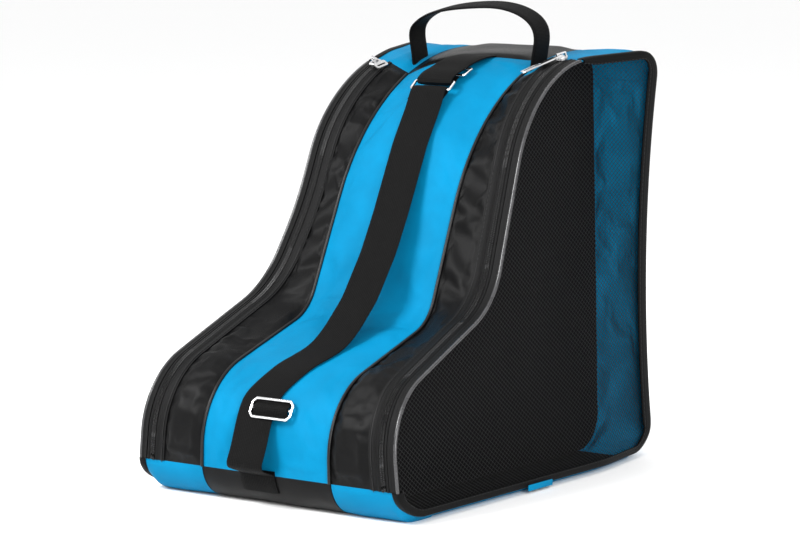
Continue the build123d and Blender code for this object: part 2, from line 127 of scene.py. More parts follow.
# outlines
def cornerPoints(shape):
    instepZ = shape["toeHeight"] + shape["toeSlope"] * shape["instep"]
    rise = bag["height"] - bag["topFall"] * bag["length"] - instepZ
    crestY = (rise + shape["shaftSlope"] * shape["instep"]) / (shape["shaftSlope"] - bag["topFall"])
    crestZ = bag["height"] - bag["topFall"] * (bag["length"] - crestY)
    return [
        (bag["length"], 0), (bag["length"], bag["height"]), (crestY, crestZ),
        (shape["instep"], instepZ), (0, shape["toeHeight"]), (0, 0),
    ]


# points of the arc that rounds a corner
def cornerArc(before, corner, after, radius, steps=24):
    corner = np.array(corner, float)
    toBefore = np.array(before, float) - corner
    toAfter = np.array(after, float) - corner
    toBefore /= np.linalg.norm(toBefore)
    toAfter /= np.linalg.norm(toAfter)
    half = np.arccos(np.clip(toBefore @ toAfter, -1, 1)) / 2
    middle = (toBefore + toAfter) / np.linalg.norm(toBefore + toAfter)
    centre = corner + middle * radius / sin(half)
    start = corner + toBefore * radius / tan(half) - centre
    end = corner + toAfter * radius / tan(half) - centre
    turn = pi - 2 * half
    share = np.linspace(0, 1, steps + 1)[:, None]
    return centre + (np.sin((1 - share) * turn) * start + np.sin(share * turn) * end) / sin(turn)


# twelve runs of (y, z) points round the boot shape, from the back upwards: back, its arc, top, crest
# arc, shaft, instep arc, toe line, toe arc, front, sole arc, floor, back arc
def outlineEdges(shape, lean):
    points = [(y, z / cos(lean)) for y, z in cornerPoints(shape)]
    count = len(points)
    arcs = [
        cornerArc(points[i - 1], points[i], points[(i + 1) % count], shape["radii"][i])
        for i in range(count)
    ]
    edges = []
    for i in range(count):
        following = arcs[(i + 1) % count]
        edges.append(np.linspace(arcs[i][-1], following[0], 25))
        edges.append(following)
    return [edge * (1, cos(lean)) + (toeY, 0) for edge in edges]


leans = {
    "outer": atan((bag["outerFloor"] - bag["outerTop"]) / bag["height"]),
    "seam": atan((bag["seamFloor"] - bag["seamTop"]) / bag["height"]),
}
outer = outlineEdges(outerShape, leans["outer"])
seam = outlineEdges(seamShape, leans["seam"])
crown = outlineEdges(crownShape, 0.0)


# (y, z) at s, from 0 to 12 round the outline; past 12 it goes round again
def onOutline(edges, s):
    s = np.atleast_1d(np.asarray(s, float)) % 12
    found = np.zeros((len(s), 2))
    for index, edge in enumerate(edges):
        here = (s >= index) & (s < index + 1)
        share = np.linspace(0, 1, len(edge))
        for axis in (0, 1):
            found[here, axis] = np.interp(s[here] - index, share, edge[:, axis])
    return found


# where between low and high the outline crosses this y (axis 0) or z (axis 1)
def cutAt(edges, axis, value, low, high):
    s = np.linspace(low, high, 6001)
    off = onOutline(edges, s)[:, axis] - value
    crossed = np.nonzero(off[:-1] * off[1:] <= 0)[0][0]
    share = off[crossed] / (off[crossed] - off[crossed + 1] + 1e-12)
    return s[crossed] + share * (s[1] - s[0])


# a function from 0..1 to s, even along the outline, the same corners at the same shares
def run(first, last):
    knots = [first] + [k for k in range(int(first) + 1, 25) if first < k < last] + [last]
    fine = [onOutline(outer, np.linspace(a, b, 20)) for a, b in zip(knots[:-1], knots[1:])]
    lengths = [np.linalg.norm(np.diff(f, axis=0), axis=1).sum() for f in fine]
    shares = np.concatenate([[0], np.cumsum(lengths)]) / sum(lengths)
    return lambda u: np.interp(u, shares, knots), sum(lengths)


# the seams round one outline: s at each
def cutsOf(edges, topY):
    y = lambda value: toeY + value
    return {
        "backTop": cutAt(edges, 1, cuts["backTop"], 0, 1.9),
        "top": cutAt(edges, 0, y(topY), 1.5, 4.9),
        "toeCap": cutAt(edges, 1, cuts["toeCap"], 6.5, 9.9),
        "middleToeCap": cutAt(edges, 1, cuts["middleToeCap"], 6.5, 9.99),
        "floorFront": cutAt(edges, 0, y(cuts["floorFront"]), 9.5, 10.9),
        "floorBack": cutAt(edges, 0, y(cuts["floorBack"]), 10.2, 11.5),
    }


# for each outline, a function from 0..1 to s between two named seams
def sharedRun(first, last):
    def maker(edges, topY, wrap=0):
        found = cutsOf(edges, topY)
        return run(found[first], found[last] + wrap)
    return maker


def halfWidth(kind, z):
    return bag[kind + "Floor"] - z * (bag[kind + "Floor"] - bag[kind + "Top"]) / bag["height"]


def ease(x):
    x = np.clip(x, 0, 1)
    return x * x * (3 - 2 * x)


flare = {"starts": 0.300, "floor": -0.0130, "slope": -0.0215, "curve": 0.321}
waist = {"depth": 0.006, "height": 0.240, "reach": 0.055, "from": 0.300}
hem = {"lift": 0.0065, "below": 0.030, "from": 1.55}


# the outer edge of a soft compartment: it stands out at the back and is drawn in at the shaft
def drape(side, points, weight=1.0):
    y = points[..., 1] - toeY
    z = points[..., 2]
    out = flare["floor"] + flare["slope"] * z + flare["curve"] * z * z
    move = out * ease((y - flare["starts"]) / (bag["length"] - flare["starts"]))
    if side == "left":
        pinch = np.exp(-((z - waist["height"]) / waist["reach"]) ** 2)
        move = move - waist["depth"] * pinch * (1 - ease((y - waist["from"] + 0.1) / 0.1))
    moved = points.copy()
    moved[..., 0] += sides[side] * move * weight
    return moved


# how far the outer edge lies above the sole, where the floor turns up to meet it
def hemLift(z):
    return hem["lift"] * (1 - ease(z / hem["below"]))


# points on a side compartment's sewn ring; across runs 0..1 to the zip band and 1..2 over it
def ringPoints(side, sSeam, sOuter, across):
    inner = onOutline(seam, sSeam)
    outside = onOutline(outer, sOuter)
    xInner = halfWidth("seam", inner[:, 1])
    xOuter = halfWidth("outer", outside[:, 1]) - bag["band"]
    share = np.clip(across, 0, 1)
    beyond = np.clip(across - 1, 0, 1)
    x = xInner + (xOuter - xInner) * share + bag["band"] * beyond
    yz = inner + (outside - inner) * share[:, None]
    yz[:, 1] += hemLift(outside[:, 1]) * ease((across - hem["from"]) / (2 - hem["from"]))
    points = np.column_stack([x * sides[side], yz])
    width = np.clip((x - xInner) / (xOuter + bag["band"] - xInner), 0, 1)
    return drape(side, points, width)


# sheets and swept pieces
gridOf = {}


# small even unevenness for each point, the same on every run
def ruffle(points, size, height, seed=0.0):
    lift = [noise.noise(Vector(p) / size + Vector((seed, seed * 1.7, -seed))) for p in points]
    return np.array(lift) * height


# a grid of faces shaped by place(u, v); its UV map is in metres
def gridSheet(name, along, across, place, size):
    clearSelection()
    bpy.ops.mesh.primitive_grid_add(x_subdivisions=along, y_subdivisions=across, size=1)
    obj = bpy.context.object
    obj.name = name
    obj.data.name = name
    flat = coordinates(obj)
    u, v = flat[:, 0] + 0.5, flat[:, 1] + 0.5
    setCoordinates(obj, place(u, v))
    uv = obj.data.uv_layers.active.data
    values = np.empty(len(uv) * 2)
    uv.foreach_get("uv", values)
    uv.foreach_set("uv", (values.reshape(-1, 2) * size).ravel())
    gridOf[name] = (u, v)
    return obj


# turns the whole sheet so that its faces look away from centre
def faceOutwards(obj, centre):
    away = sum((f.normal.dot(f.center - Vector(centre)) * f.area for f in obj.data.polygons))
    if away < 0:
        pick(obj)
        bpy.ops.object.mode_set(mode="EDIT")
        bpy.ops.mesh.select_all(action="SELECT")
        bpy.ops.mesh.flip_normals()
        bpy.ops.object.mode_set(mode="OBJECT")


def gridNormals(obj):
    normals = np.empty(len(obj.data.vertices) * 3)
    obj.data.vertices.foreach_get("normal", normals)
    return normals.reshape(-1, 3)


def liftBy(obj, heights):
    setCoordinates(obj, coordinates(obj) + gridNormals(obj) * heights[:, None])


# 0 on the sheet's border, rising to 1 inside it
def edgeShare(name, reachU, reachV):
    u, v = gridOf[name]
    return ease(np.minimum(u, 1 - u) / reachU) * ease(np.minimum(v, 1 - v) / reachV)


clothRun = {"frames": 16, "mass": 0.12, "tension": 12.0, "bending": 0.35, "quality": 5}


# cloth simulation of a panel sewn at its border and cut a little too large, so it wrinkles
def slacken(obj, spare, cap):
    before = coordinates(obj)
    border = edgeShare(obj.name, 0.01, 0.04) < 0.5
    group = obj.vertex_groups.new(name="sewn")
    group.add([int(i) for i in np.nonzero(border)[0]], 1.0, "REPLACE")
    pick(obj)
    bpy.ops.object.modifier_add(type="CLOTH")
    cloth = obj.modifiers[-1]
    settings = cloth.settings
    settings.quality = clothRun["quality"]
    settings.mass = clothRun["mass"]
    settings.tension_stiffness = clothRun["tension"]
    settings.compression_stiffness = clothRun["tension"]
    settings.shear_stiffness = clothRun["tension"] / 2
    settings.bending_stiffness = clothRun["bending"]
    settings.vertex_group_mass = "sewn"
    settings.shrink_min = -spare
    settings.effector_weights.gravity = 0
    cloth.collision_settings.use_collision = False
    cloth.point_cache.frame_end = clothRun["frames"]
    for step in range(1, clothRun["frames"] + 1):
        scene.frame_set(step)
    bpy.ops.object.modifier_apply(modifier=cloth.name)
    scene.frame_set(1)
    moved = coordinates(obj) - before
    size = np.linalg.norm(moved, axis=1)
    share = cap * np.tanh(size / cap) / np.maximum(size, 1e-9) * edgeShare(obj.name, 0.02, 0.12)
    setCoordinates(obj, before + moved * share[:, None])
    obj.vertex_groups.clear()


# width, length and area of the cut cloth, measured along the grid
def sheetFacts(obj):
    points = coordinates(obj)
    u, v = gridOf[obj.name]
    rows = {}
    for axis, other in ((u, v), (v, u)):
        order = np.lexsort((axis, np.round(other, 6)))
        steps = np.linalg.norm(np.diff(points[order], axis=0), axis=1)
        same = np.abs(np.diff(np.round(other, 6)[order])) < 1e-9
        labels = np.round(other, 6)[order][1:][same]
        totals = [steps[same][labels == value].sum() for value in np.unique(labels)]
        rows[len(rows)] = max(totals)
    area = sum(face.area for face in obj.data.polygons)
    return rows[1], rows[0], area


def sewnSheet(obj, thick, centre=(0, 0.03, 0.16), inside=None):
    width, length, area = sheetFacts(obj)
    faceOutwards(obj, centre)
    applyModifier(obj, "SOLIDIFY", thickness=thick, offset=-1, use_even_offset=False,
                  material_offset=1 if inside else 0, material_offset_rim=0)
    smooth(obj, 60)
    return obj


foldDepth = 0.0022  # past this depth a folded edge's flat part may be stretched


# a closed profile carried along a line of frames, with its ends filled
def sweepProfile(name, origins, axisA, axisB, profile, size, deepen=None):
    count, ring = len(origins), len(profile)

    def place(u, v):
        i = np.rint(u * (count - 1)).astype(int)
        j = np.rint(v * ring).astype(int) % ring
        a, b = profile[j, 0], profile[j, 1]
        if deepen is not None:
            b = np.where(b < -foldDepth, -foldDepth + (b + foldDepth) * deepen[i], b)
        return origins[i] + axisA[i] * a[:, None] + axisB[i] * b[:, None]

    obj = gridSheet(name, count - 1, ring, place, size)
    pick(obj)
    bpy.ops.object.mode_set(mode="EDIT")
    bpy.ops.mesh.select_mode(type="VERT")
    bpy.ops.mesh.select_all(action="SELECT")
    bpy.ops.mesh.remove_doubles(threshold=1e-6)
    bpy.ops.mesh.select_all(action="DESELECT")
    bpy.ops.mesh.select_non_manifold()
    bpy.ops.mesh.fill_holes(sides=0)
    bpy.ops.mesh.select_all(action="SELECT")
    bpy.ops.mesh.normals_make_consistent(inside=False)
    bpy.ops.object.mode_set(mode="OBJECT")
    smooth(obj, 50)
    return obj


# flat webbing section: rounded long edges, and a slight rise in the middle
def flatProfile(width, thick, steps=10, crownUp=0.0):
    x = np.linspace(-0.5, 0.5, steps + 1)
    rise = crownUp * (1 - (2 * x) ** 2)
    inset = np.where(np.abs(x) > 0.499, 0.45, 1.0)
    top = np.column_stack([x * width, thick / 2 * inset + rise])
    bottom = np.column_stack([x[::-1] * width, -thick / 2 * inset[::-1] + rise[::-1]])
    return np.vstack([top, bottom])


# a path of straight runs joined by arcs, as evenly spaced points
def filletedLine(points, radii, step=0.003):
    points = [np.array(p, float) for p in points]
    pieces = [points[0][None]]
    for i, radius in enumerate(radii, start=1):
        pieces.append(cornerArc(points[i - 1], points[i], points[i + 1], radius, 16))
    pieces.append(points[-1][None])
    return evenly(np.vstack(pieces), step)


def evenly(line, step):
    lengths = np.concatenate([[0], np.cumsum(np.linalg.norm(np.diff(line, axis=0), axis=1))])
    wanted = np.linspace(0, lengths[-1], max(3, int(round(lengths[-1] / step)) + 1))
    return np.column_stack([np.interp(wanted, lengths, line[:, k]) for k in range(line.shape[1])])


def lineLength(line):
    return np.linalg.norm(np.diff(line, axis=0), axis=1).sum()


def tangents(line):
    along = np.gradient(line, axis=0)
    return along / np.linalg.norm(along, axis=1)[:, None]


# webbing along a (y, z) line in the bag's middle plane
def middleStrip(name, line, width, thick, crownUp=0.0, aside=0.0):
    ahead = tangents(line)
    origins = np.column_stack([np.zeros(len(line)) + aside, line])
    acrossAxis = np.tile((1.0, 0, 0), (len(line), 1))
    up = np.column_stack([np.zeros(len(line)), -ahead[:, 1], ahead[:, 0]])
    if ahead[len(line) // 2, 0] < 0:
        up = -up
    profile = flatProfile(width, thick, crownUp=crownUp)
    return sweepProfile(name, origins, acrossAxis, up, profile, (lineLength(line), 2 * width))


# copies of a small shape at each place, as one mesh. turns are 3x3, columns the new axes
def scatter(name, template, places, turns):
    points = coordinates(template)
    faces = [tuple(f.vertices) for f in template.data.polygons]
    allPoints = np.einsum("nij,mj->nmi", turns, points) + places[:, None, :]
    allFaces = [
        tuple(index + k * len(points) for index in face)
        for k in range(len(places)) for face in faces
    ]
    mesh = bpy.data.meshes.new(name)
    mesh.from_pydata(allPoints.reshape(-1, 3).tolist(), [], allFaces)
    mesh.update()
    obj = bpy.data.objects.new(name, mesh)
    scene.collection.objects.link(obj)
    smooth(obj, 70)
    return obj


# a small rounded bar along X: a stitch or one turn of a zip coil
def bead(name, length, width, height, segments=6, rings=4):
    clearSelection()
    bpy.ops.mesh.primitive_uv_sphere_add(segments=segments, ring_count=rings, radius=0.5)
    obj = bpy.context.object
    obj.name = name
    bpy.ops.transform.rotate(value=pi / 2, orient_axis="Y", center_override=(0, 0, 0))
    bpy.ops.transform.resize(value=(length, width, height))
    bpy.ops.object.transform_apply(location=True, rotation=True, scale=True)
    return obj


def drop(*objects):
    for obj in objects:
        bpy.data.objects.remove(obj)


stitch = {"pitch": 0.0042, "length": 0.0031, "width": 0.0008, "height": 0.0007}


# stitches along a 3-D line; up is the surface normal at each point
def stitchRow(name, line, up, material, body, pitch=None):
    both = evenly(np.hstack([line, up]), pitch or stitch["pitch"])
    places, ups = both[:, :3], both[:, 3:]
    ahead = tangents(places)
    ups = ups - (ups * ahead).sum(1)[:, None] * ahead
    ups /= np.linalg.norm(ups, axis=1)[:, None]
    turns = np.stack([ahead, np.cross(ups, ahead), ups], axis=2)
    template = bead("stitchShape", stitch["length"], stitch["width"], stitch["height"])
    obj = scatter(name, template, places, turns)
    drop(template)
    finishPiece(obj, material, body)
    return obj


# materials
def newMaterial(name):
    material = bpy.data.materials.new(name)
    material.use_nodes = True
    tree = material.node_tree
    shader = tree.nodes["Principled BSDF"]
    return material, tree, shader


def link(tree, a, b):
    tree.links.new(a, b)


# over-and-under height of a plain weave, threads at these pitches
def weavePattern(tree, pitchX, pitchY, source="UV"):
    coords = tree.nodes.new("ShaderNodeTexCoord")
    heights = []
    for axis, pitch in (("X", pitchX), ("Y", pitchY)):
        wave = tree.nodes.new("ShaderNodeTexWave")
        wave.wave_type = "BANDS"
        wave.bands_direction = axis
        wave.inputs["Scale"].default_value = 0.314 / pitch
        wave.inputs["Distortion"].default_value = 0.6
        wave.inputs["Detail"].default_value = 1.0
        wave.inputs["Detail Scale"].default_value = 0.5
        link(tree, coords.outputs[source], wave.inputs["Vector"])
        heights.append(wave.outputs["Fac"])
    join = tree.nodes.new("ShaderNodeMath")
    join.operation = "MULTIPLY"
    link(tree, heights[0], join.inputs[0])
    link(tree, heights[1], join.inputs[1])
    return join.outputs[0]


# the colour, a little darker in broad soft patches
def unevenTone(tree, color, darker, size, low=0.35, high=0.65):
    coords = tree.nodes.new("ShaderNodeTexCoord")
    cloud = tree.nodes.new("ShaderNodeTexNoise")
    cloud.inputs["Scale"].default_value = 1 / size
    cloud.inputs["Detail"].default_value = 4
    ramp = tree.nodes.new("ShaderNodeValToRGB")
    ramp.color_ramp.elements[0].position = low
    ramp.color_ramp.elements[1].position = high
    ramp.color_ramp.elements[0].color = (*[c * darker for c in color], 1)
    ramp.color_ramp.elements[1].color = (*color, 1)
    link(tree, coords.outputs["Object"], cloud.inputs["Vector"])
    link(tree, cloud.outputs["Fac"], ramp.inputs["Fac"])
    return cloud.outputs["Fac"], ramp.outputs["Color"]


# less light between raised threads
def darkenBetween(tree, color, height, amount):
    mix = tree.nodes.new("ShaderNodeMix")
    mix.data_type = "RGBA"
    mix.blend_type = "MULTIPLY"
    mix.inputs["Factor"].default_value = amount
    link(tree, color, mix.inputs["A"])
    link(tree, height, mix.inputs["B"])
    return mix.outputs["Result"]


def bumpFrom(tree, shader, height, strength, distance):
    bump = tree.nodes.new("ShaderNodeBump")
    bump.inputs["Strength"].default_value = strength
    bump.inputs["Distance"].default_value = distance
    link(tree, height, bump.inputs["Height"])
    link(tree, bump.outputs["Normal"], shader.inputs["Normal"])


def clothMaterial(name, look):
    material, tree, shader = newMaterial(name)
    height = weavePattern(tree, look["pitch"], look.get("pitchAcross", look["pitch"]))
    cloud, tone = unevenTone(tree, look["color"], look["darker"], look["patch"])
    link(tree, darkenBetween(tree, tone, height, look["between"]), shader.inputs["Base Color"])
    rough = tree.nodes.new("ShaderNodeMapRange")
    rough.inputs["To Min"].default_value = look["rough"] - 0.06
    rough.inputs["To Max"].default_value = look["rough"] + 0.06
    link(tree, cloud, rough.inputs["Value"])
    link(tree, rough.outputs["Result"], shader.inputs["Roughness"])
    shader.inputs["Sheen Weight"].default_value = look["sheen"]
    shader.inputs["Sheen Roughness"].default_value = 0.45
    shader.inputs["Specular IOR Level"].default_value = look["specular"]
    bumpFrom(tree, shader, height, look["bump"], look["pitch"] * 0.35)
    return material


# ribs across the webbing with a finer twill between them
def webbingMaterial(name, look):
    material, tree, shader = newMaterial(name)
    weave = weavePattern(tree, look["pitch"], look["rib"])
    _, tone = unevenTone(tree, look["color"], look["darker"], 0.012)
    link(tree, darkenBetween(tree, tone, weave, look["between"]), shader.inputs["Base Color"])
    shader.inputs["Roughness"].default_value = look["rough"]
    shader.inputs["Sheen Weight"].default_value = look["sheen"]
    shader.inputs["Specular IOR Level"].default_value = look["specular"]
    bumpFrom(tree, shader, weave, look["bump"], look["rib"] * 0.4)
    return material


# smooth stock: moulded piping, coil or plated wire, with fine handling marks
def plainMaterial(name, look, metal=0.0):
    material, tree, shader = newMaterial(name)
    cloud, tone = unevenTone(tree, look["color"], look["darker"], look["patch"])
    link(tree, tone, shader.inputs["Base Color"])
    shader.inputs["Metallic"].default_value = metal
    rough = tree.nodes.new("ShaderNodeMapRange")
    rough.inputs["To Min"].default_value = look["rough"] * 0.7
    rough.inputs["To Max"].default_value = look["rough"] * 1.4
    link(tree, cloud, rough.inputs["Value"])
    link(tree, rough.outputs["Result"], shader.inputs["Roughness"])
    shader.inputs["Specular IOR Level"].default_value = look.get("specular", 0.5)
    bumpFrom(tree, shader, cloud, look["bump"], 0.0002)
    return material


blueLook = {
    "color": (0.0, 0.172, 0.340), "darker": 0.84, "patch": 0.05, "pitch": 0.0007, "between": 0.10,
    "rough": 0.60, "sheen": 0.0, "specular": 0.05, "bump": 0.25,
}
blackLook = {
    "color": (0.0018, 0.0018, 0.0020), "darker": 0.75, "patch": 0.03, "pitch": 0.0007,
    "between": 0.25, "rough": 0.40, "sheen": 0.0, "specular": 0.10, "bump": 0.30,
}
liningLook = {
    "color": (0.004, 0.004, 0.0043), "darker": 0.8, "patch": 0.04, "pitch": 0.0009,
    "between": 0.2, "rough": 0.75, "sheen": 0.0, "specular": 0.05, "bump": 0.2,
}
bindingLook = {
    "color": (0.0018, 0.0018, 0.0020), "darker": 0.8, "pitch": 0.0008, "rib": 0.0011,
    "between": 0.35, "rough": 0.55, "sheen": 0.0, "specular": 0.08, "bump": 0.5,
}
tapeLook = {
    "color": (0.0018, 0.0018, 0.0020), "darker": 0.8, "pitch": 0.0006, "rib": 0.0009,
    "between": 0.3, "rough": 0.50, "sheen": 0.0, "specular": 0.13, "bump": 0.45,
}
webbingLook = {
    "color": (0.0026, 0.0025, 0.0025), "darker": 0.8, "pitch": 0.0012, "rib": 0.0017,
    "between": 0.45, "rough": 0.62, "sheen": 0.0, "specular": 0.08, "bump": 0.7,
}
netLook = {
    "color": (0.004, 0.004, 0.0043), "darker": 0.75, "patch": 0.004, "rough": 0.50, "bump": 0.3,
    "specular": 0.2,
}
pipingLook = {
    "color": (0.030, 0.030, 0.032), "darker": 0.7, "patch": 0.01, "rough": 0.26, "bump": 0.15,
}
seamPipingLook = {
    "color": (0.004, 0.004, 0.0042), "darker": 0.8, "patch": 0.01, "rough": 0.36, "bump": 0.15,
    "specular": 0.25,
}
coilLook = {
    "color": (0.006, 0.006, 0.0063), "darker": 0.8, "patch": 0.003, "rough": 0.34, "bump": 0.1,
    "specular": 0.3,
}
metalLook = {
    "color": (0.74, 0.74, 0.75), "darker": 0.86, "patch": 0.003, "rough": 0.18, "bump": 0.05,
}
threadLook = {
    "color": (0.009, 0.009, 0.0095), "darker": 0.7, "patch": 0.002, "rough": 0.5, "bump": 0.3,
    "specular": 0.25,
}
blueCloth = clothMaterial("blueCloth", blueLook)
blackCloth = clothMaterial("blackCloth", blackLook)
liningCloth = clothMaterial("liningCloth", liningLook)
bindingTape = webbingMaterial("bindingTape", bindingLook)
zipCloth = webbingMaterial("zipCloth", tapeLook)
webbingCloth = webbingMaterial("webbingCloth", webbingLook)
netThread = plainMaterial("netThread", netLook)
netPiping = plainMaterial("netPiping", pipingLook)
seamPiping = plainMaterial("seamPiping", seamPipingLook)
coilPlastic = plainMaterial("coilPlastic", coilLook)
platedMetal = plainMaterial("platedMetal", metalLook, metal=1.0)
blackThread = plainMaterial("blackThread", threadLook)


def finishPiece(obj, material, body, *nodes):
    if not obj.data.materials:
        obj.data.materials.append(material)
    if body:
        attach(obj, body)
    if nodes:
        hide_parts(*nodes)
    return obj


print("materials made")

# side compartments: sewn ring
panel = {
    "thick": 0.0016, "spacing": 0.0030, "pucker": 0.0006, "puckerLength": 0.011, "puckerReach": 0.008,
    "width": 0.075, "reach": 1.35, "patch": 0.035, "wrinkleCap": 0.0035,
}


# one panel of a side compartment between two seams round the ring
def ringPanel(side, name, first, last, acrossRange, wrap=0, bulge=0.0, material=None, inside=None,
              uneven=0.0006, wrinkle=0.0):
    seamRun, _ = sharedRun(first, last)(seam, cuts[side + "TopInner"], wrap)
    outerRun, length = sharedRun(first, last)(outer, cuts[side + "Top"], wrap)
    low, high = acrossRange
    width = panel["width"] * (high - low) / panel["reach"]
    along = max(8, int(length / panel["spacing"]))
    rows = max(6, int(width / panel["spacing"]))

    def place(u, v):
        return ringPoints(side, seamRun(u), outerRun(u), low + (high - low) * v)

    obj = gridSheet(name, along, rows, place, (length, width))
    faceOutwards(obj, (sides[side] * 0.1, 0.03, 0.15))
    points = coordinates(obj)
    inner = edgeShare(name, 0.03, 0.25)
    u, v = gridOf[name]
    lift = bulge * inner + ruffle(points, panel["patch"], uneven, 3.0 * sides[side]) * inner
    near = np.exp(-np.minimum(v, 1 - v) * panel["width"] * (high - low) / panel["puckerReach"])
    wave = ruffle(points, panel["puckerLength"], panel["pucker"], 7.0 * sides[side])
    lift += wave * near * ease(np.minimum(v, 1 - v) / 0.06)
    liftBy(obj, lift)
    if wrinkle:
        slacken(obj, wrinkle, panel["wrinkleCap"])
    obj.data.materials.append(material)
    if inside:
        obj.data.materials.append(inside)
    sewnSheet(obj, panel["thick"], (sides[side] * 0.1, 0.03, 0.15), inside)
    return obj


for side in sides:
    gusset = ringPanel(side, side + "FrontGusset", "top", "toeCap", (0, 1), bulge=0.0025,
                       material=blackCloth, inside=liningCloth, uneven=0.002, wrinkle=0.035)
    finishPiece(gusset, blackCloth, "bag", side + "_front_gusset")
    toeCap = ringPanel(side, side + "ToeCap", "toeCap", "floorFront", (0, 2), bulge=0.0012,
                       material=blueCloth, inside=liningCloth, uneven=0.0014)
    finishPiece(toeCap, blueCloth, "bag", side + "_toe_cap")
    floor = ringPanel(side, side + "FloorPanel", "floorFront", "floorBack", (0, 2),
                      material=blueCloth, inside=liningCloth, uneven=0.0)
    finishPiece(floor, blueCloth, "bag", side + "_floor_panel")
    back = ringPanel(side, side + "BackPanel", "floorBack", "backTop", (0, 2), wrap=12, bulge=-0.002,
                     material=blueCloth, uneven=0.004, wrinkle=0.045)
    finishPiece(back, blueCloth, "bag", side + "_back_panel")
    top = ringPanel(side, side + "TopPanel", "backTop", "top", (0, 2), bulge=0.0012,
                    material=blueCloth, uneven=0.0025)
    finishPiece(top, blueCloth, "bag", side + "_top_panel")
    print(side, "ring sewn")


# dividers between the compartments
divider = {"thick": 0.0012, "around": 180, "rings": 26, "heart": (toeY + 0.245, 0.120), "uneven": 0.003}
for side, sign in sides.items():

    def place(u, v):
        edge = onOutline(seam, u * 12)
        yz = np.array(divider["heart"]) + (edge - divider["heart"]) * v[:, None]
        return np.column_stack([sign * (halfWidth("seam", yz[:, 1]) - 0.0004), yz])

    sheet = gridSheet(side + "Divider", divider["around"], divider["rings"], place, (1.3, 0.2))
    pick(sheet)
    bpy.ops.object.mode_set(mode="EDIT")
    bpy.ops.mesh.select_all(action="SELECT")
    bpy.ops.mesh.remove_doubles(threshold=1e-6)
    bpy.ops.object.mode_set(mode="OBJECT")
    points = coordinates(sheet)
    rim = np.linalg.norm(points[:, 1:] - divider["heart"], axis=1)
    points[:, 0] += ruffle(points, 0.06, divider["uneven"], sign) * ease(1.2 - rim / 0.12)
    setCoordinates(sheet, points)
    faceOutwards(sheet, (0, 0.03, 0.16))
    sheet.data.materials.append(liningCloth)
    applyModifier(sheet, "SOLIDIFY", thickness=divider["thick"], offset=-1)
    smooth(sheet, 60)
    finishPiece(sheet, liningCloth, "bag", side + "_divider")
print("dividers in")


# middle compartment
middle = {
    "thick": 0.0016, "spacing": 0.0030, "inset": 0.0012, "width": 0.135, "patch": 0.045,
    "wrinkleCap": 0.0016,
}


def middlePanel(name, first, last, wrap=0, bulge=0.0, uneven=0.0008, material=None, inside=None,
                wrinkle=0.0):
    edgeRuns = []
    for lean in (-1, 1):
        topY = cuts["middleTop"] + lean * cuts["middleTopSkew"]
        edgeRuns.append([sharedRun(first, last)(edges, topY, wrap) for edges in (seam, crown)])
    length = edgeRuns[0][1][1]
    along = max(8, int(length / middle["spacing"]))
    rows = max(8, int(middle["width"] / middle["spacing"] / 2) * 2)

    def place(u, v):
        across = 2 * v - 1
        sSeam, sCrown = [edgeRuns[0][k][0](u) * (1 - v) + edgeRuns[1][k][0](u) * v for k in (0, 1)]
        edge, centre = onOutline(seam, sSeam), onOutline(crown, sCrown)
        yz = centre + (edge - centre) * (across ** 2)[:, None]
        return np.column_stack([across * (halfWidth("seam", edge[:, 1]) - middle["inset"]), yz])

    obj = gridSheet(name, along, rows, place, (length, middle["width"]))
    faceOutwards(obj, (0, 0.03, 0.15))
    points = coordinates(obj)
    inner = edgeShare(name, 0.03, 0.2)
    u, v = gridOf[name]
    near = np.exp(-np.minimum(v, 1 - v) * middle["width"] / panel["puckerReach"])
    lift = bulge * inner + ruffle(points, middle["patch"], uneven, 2.0) * inner
    lift += ruffle(points, panel["puckerLength"], panel["pucker"]) * near * ease(np.minimum(v, 1 - v) / 0.04)
    liftBy(obj, lift)
    if wrinkle:
        slacken(obj, wrinkle, middle["wrinkleCap"])
    obj.data.materials.append(material)
    if inside:
        obj.data.materials.append(inside)
    return sewnSheet(obj, middle["thick"], (0, 0.03, 0.15), inside)


front = middlePanel("middleFrontPanel", "top", "toeCap", uneven=0.0016, bulge=0.0008,
                    material=blueCloth, inside=liningCloth, wrinkle=0.02)
finishPiece(front, blueCloth, "bag", "middle_front_panel")
cap = middlePanel("middleToeCap", "toeCap", "floorFront", uneven=0.0010, material=blackCloth)
finishPiece(cap, blackCloth, "bag", "middle_toe_cap")
underside = middlePanel("middleFloorPanel", "floorFront", "floorBack", uneven=0.0, material=blackCloth)
finishPiece(underside, blackCloth, "bag", "middle_floor_panel")
rear = middlePanel("middleBackPanel", "floorBack", "backTop", wrap=12, uneven=0.0012, material=blackCloth)
finishPiece(rear, blackCloth, "bag", "middle_back_panel")
lid = middlePanel("middleTopPanel", "backTop", "top", uneven=0.0015, bulge=0.0022, material=blackCloth)
finishPiece(lid, blackCloth, "bag", "middle_top_panel")
print("middle compartment sewn")


# piping on the seams
def tube(name, line, radius, material, body, *nodes, sides=10):
    ahead = tangents(line)
    reference = np.tile((1.0, 0.0, 0.0), (len(line), 1))
    axisA = reference - (reference * ahead).sum(1)[:, None] * ahead
    axisA /= np.linalg.norm(axisA, axis=1)[:, None]
    axisB = np.cross(ahead, axisA)
    angle = np.linspace(0, 2 * pi, sides, endpoint=False)
    profile = np.column_stack([np.cos(angle), np.sin(angle)]) * radius
    obj = sweepProfile(name, line, axisA, axisB, profile, (lineLength(line), 2 * pi * radius))
    return finishPiece(obj, material, body, *nodes)


# in the (y, z) plane, the direction away from inside an outline that runs from top to toe
def outwardYz(line):
    ahead = tangents(line)
    return np.column_stack([ahead[:, 1], -ahead[:, 0]])


